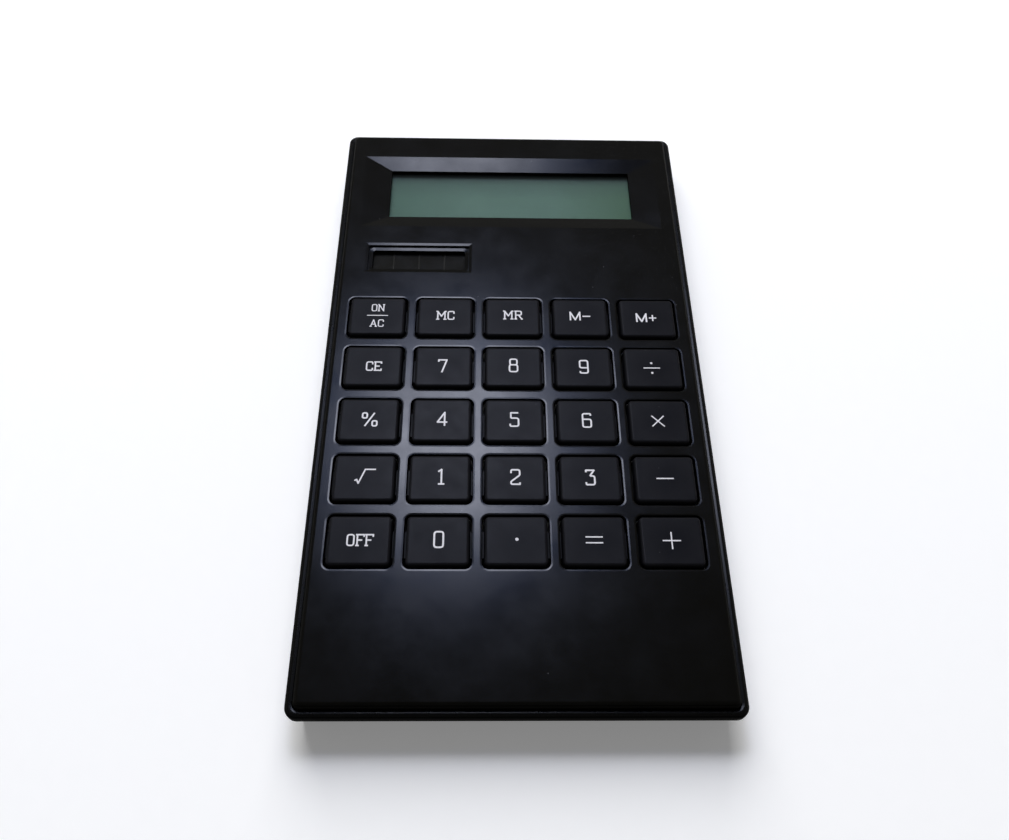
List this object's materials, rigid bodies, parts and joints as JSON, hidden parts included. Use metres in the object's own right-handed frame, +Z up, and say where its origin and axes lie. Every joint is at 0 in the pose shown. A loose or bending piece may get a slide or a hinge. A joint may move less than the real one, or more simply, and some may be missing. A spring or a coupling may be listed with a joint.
{
  "type": "electronic calculator",
  "caption": "Slim black desk calculator with a sunk display frame, a small solar panel, rounded key caps on a domed keypad mat, and a screwed case with a battery door and rubber feet.",
  "frame": {"origin": "on the table, under the middle of the case", "axes": "+Z up out of the face, +Y from the keys towards the display, +X to the user's right"},
  "size_m": [0.104, 0.185, 0.0127],
  "materials": {
    "case_black": "satin black, fine moulded grain",
    "face_black": "satin to semi-gloss black",
    "key_black": "matt black with rounded top edges",
    "foot_rubber": "matt black",
    "steel": "dull zinc plated",
    "clear_acrylic": "clear, polished",
    "polariser": "grey-green film",
    "display_glass": "clear",
    "reflector": "grey-green pearl",
    "white_plastic": "moulded",
    "ribbon": "amber film",
    "solar_glass": "polished, dark",
    "solar_cells": "brown-black thin film",
    "wire_dark": "sleeved",
    "wire_red": "sleeved",
    "silicone": "matt, translucent grey",
    "board": "green resist",
    "potting": "black epoxy",
    "capacitor": "ceramic, tan",
    "cell_steel": "bright",
    "contact": "nickel plated"
  },
  "bodies": {
    "case": {"rear_cover": "case_black", "front_cover": "face_black", "rubber_feet": "foot_rubber", "case_screws": "steel", "display_window": "clear_acrylic", "lcd_front_polariser": "polariser", "lcd_front_glass": "display_glass", "lcd_rear_glass": "display_glass", "lcd_reflector": "reflector", "lcd_frame": "white_plastic", "display_screws": "steel", "lcd_ribbon": "ribbon", "solar_glass": "solar_glass", "solar_cells": "solar_cells", "solar_wires": "wire_dark", "keypad_mat": "silicone", "circuit_board": "board", "board_screws": "steel", "chip_blob": "potting", "filter_capacitor": "capacitor", "chip_resistors": "potting", "button_cell": "cell_steel", "battery_spring": "contact", "battery_clip": "contact", "battery_wires": "wire_red", "battery_door": "case_black", "door_screw": "steel"},
    "key_on_ac": {"key_on_ac": "key_black"},
    "key_mc": {"key_mc": "key_black"},
    "key_mr": {"key_mr": "key_black"},
    "key_m_minus": {"key_m_minus": "key_black"},
    "key_m_plus": {"key_m_plus": "key_black"},
    "key_ce": {"key_ce": "key_black"},
    "key_7": {"key_7": "key_black"},
    "key_8": {"key_8": "key_black"},
    "key_9": {"key_9": "key_black"},
    "key_divide": {"key_divide": "key_black"},
    "key_percent": {"key_percent": "key_black"},
    "key_4": {"key_4": "key_black"},
    "key_5": {"key_5": "key_black"},
    "key_6": {"key_6": "key_black"},
    "key_multiply": {"key_multiply": "key_black"},
    "key_root": {"key_root": "key_black"},
    "key_1": {"key_1": "key_black"},
    "key_2": {"key_2": "key_black"},
    "key_3": {"key_3": "key_black"},
    "key_minus": {"key_minus": "key_black"},
    "key_off": {"key_off": "key_black"},
    "key_0": {"key_0": "key_black"},
    "key_point": {"key_point": "key_black"},
    "key_equals": {"key_equals": "key_black"},
    "key_plus": {"key_plus": "key_black"}
  },
  "joints": [
    {"name": "key_on_ac_press", "type": "slide", "parent": "case", "child": "key_on_ac", "axis": [0, 0, -1], "range_m": [0, 0.001], "stiffness_N_per_m": 500, "springref_m": -0.0006, "deforming": ["keypad_mat"]},
    {"name": "key_mc_press", "type": "slide", "parent": "case", "child": "key_mc", "axis": [0, 0, -1], "range_m": [0, 0.001], "stiffness_N_per_m": 500, "springref_m": -0.0006, "deforming": ["keypad_mat"]},
    {"name": "key_mr_press", "type": "slide", "parent": "case", "child": "key_mr", "axis": [0, 0, -1], "range_m": [0, 0.001], "stiffness_N_per_m": 500, "springref_m": -0.0006, "deforming": ["keypad_mat"]},
    {"name": "key_m_minus_press", "type": "slide", "parent": "case", "child": "key_m_minus", "axis": [0, 0, -1], "range_m": [0, 0.001], "stiffness_N_per_m": 500, "springref_m": -0.0006, "deforming": ["keypad_mat"]},
    {"name": "key_m_plus_press", "type": "slide", "parent": "case", "child": "key_m_plus", "axis": [0, 0, -1], "range_m": [0, 0.001], "stiffness_N_per_m": 500, "springref_m": -0.0006, "deforming": ["keypad_mat"]},
    {"name": "key_ce_press", "type": "slide", "parent": "case", "child": "key_ce", "axis": [0, 0, -1], "range_m": [0, 0.001], "stiffness_N_per_m": 500, "springref_m": -0.0006, "deforming": ["keypad_mat"]},
    {"name": "key_7_press", "type": "slide", "parent": "case", "child": "key_7", "axis": [0, 0, -1], "range_m": [0, 0.001], "stiffness_N_per_m": 500, "springref_m": -0.0006, "deforming": ["keypad_mat"]},
    {"name": "key_8_press", "type": "slide", "parent": "case", "child": "key_8", "axis": [0, 0, -1], "range_m": [0, 0.001], "stiffness_N_per_m": 500, "springref_m": -0.0006, "deforming": ["keypad_mat"]},
    {"name": "key_9_press", "type": "slide", "parent": "case", "child": "key_9", "axis": [0, 0, -1], "range_m": [0, 0.001], "stiffness_N_per_m": 500, "springref_m": -0.0006, "deforming": ["keypad_mat"]},
    {"name": "key_divide_press", "type": "slide", "parent": "case", "child": "key_divide", "axis": [0, 0, -1], "range_m": [0, 0.001], "stiffness_N_per_m": 500, "springref_m": -0.0006, "deforming": ["keypad_mat"]},
    {"name": "key_percent_press", "type": "slide", "parent": "case", "child": "key_percent", "axis": [0, 0, -1], "range_m": [0, 0.001], "stiffness_N_per_m": 500, "springref_m": -0.0006, "deforming": ["keypad_mat"]},
    {"name": "key_4_press", "type": "slide", "parent": "case", "child": "key_4", "axis": [0, 0, -1], "range_m": [0, 0.001], "stiffness_N_per_m": 500, "springref_m": -0.0006, "deforming": ["keypad_mat"]},
    {"name": "key_5_press", "type": "slide", "parent": "case", "child": "key_5", "axis": [0, 0, -1], "range_m": [0, 0.001], "stiffness_N_per_m": 500, "springref_m": -0.0006, "deforming": ["keypad_mat"]},
    {"name": "key_6_press", "type": "slide", "parent": "case", "child": "key_6", "axis": [0, 0, -1], "range_m": [0, 0.001], "stiffness_N_per_m": 500, "springref_m": -0.0006, "deforming": ["keypad_mat"]},
    {"name": "key_multiply_press", "type": "slide", "parent": "case", "child": "key_multiply", "axis": [0, 0, -1], "range_m": [0, 0.001], "stiffness_N_per_m": 500, "springref_m": -0.0006, "deforming": ["keypad_mat"]},
    {"name": "key_root_press", "type": "slide", "parent": "case", "child": "key_root", "axis": [0, 0, -1], "range_m": [0, 0.001], "stiffness_N_per_m": 500, "springref_m": -0.0006, "deforming": ["keypad_mat"]},
    {"name": "key_1_press", "type": "slide", "parent": "case", "child": "key_1", "axis": [0, 0, -1], "range_m": [0, 0.001], "stiffness_N_per_m": 500, "springref_m": -0.0006, "deforming": ["keypad_mat"]},
    {"name": "key_2_press", "type": "slide", "parent": "case", "child": "key_2", "axis": [0, 0, -1], "range_m": [0, 0.001], "stiffness_N_per_m": 500, "springref_m": -0.0006, "deforming": ["keypad_mat"]},
    {"name": "key_3_press", "type": "slide", "parent": "case", "child": "key_3", "axis": [0, 0, -1], "range_m": [0, 0.001], "stiffness_N_per_m": 500, "springref_m": -0.0006, "deforming": ["keypad_mat"]},
    {"name": "key_minus_press", "type": "slide", "parent": "case", "child": "key_minus", "axis": [0, 0, -1], "range_m": [0, 0.001], "stiffness_N_per_m": 500, "springref_m": -0.0006, "deforming": ["keypad_mat"]},
    {"name": "key_off_press", "type": "slide", "parent": "case", "child": "key_off", "axis": [0, 0, -1], "range_m": [0, 0.001], "stiffness_N_per_m": 500, "springref_m": -0.0006, "deforming": ["keypad_mat"]},
    {"name": "key_0_press", "type": "slide", "parent": "case", "child": "key_0", "axis": [0, 0, -1], "range_m": [0, 0.001], "stiffness_N_per_m": 500, "springref_m": -0.0006, "deforming": ["keypad_mat"]},
    {"name": "key_point_press", "type": "slide", "parent": "case", "child": "key_point", "axis": [0, 0, -1], "range_m": [0, 0.001], "stiffness_N_per_m": 500, "springref_m": -0.0006, "deforming": ["keypad_mat"]},
    {"name": "key_equals_press", "type": "slide", "parent": "case", "child": "key_equals", "axis": [0, 0, -1], "range_m": [0, 0.001], "stiffness_N_per_m": 500, "springref_m": -0.0006, "deforming": ["keypad_mat"]},
    {"name": "key_plus_press", "type": "slide", "parent": "case", "child": "key_plus", "axis": [0, 0, -1], "range_m": [0, 0.001], "stiffness_N_per_m": 500, "springref_m": -0.0006, "deforming": ["keypad_mat"]}
  ]
}
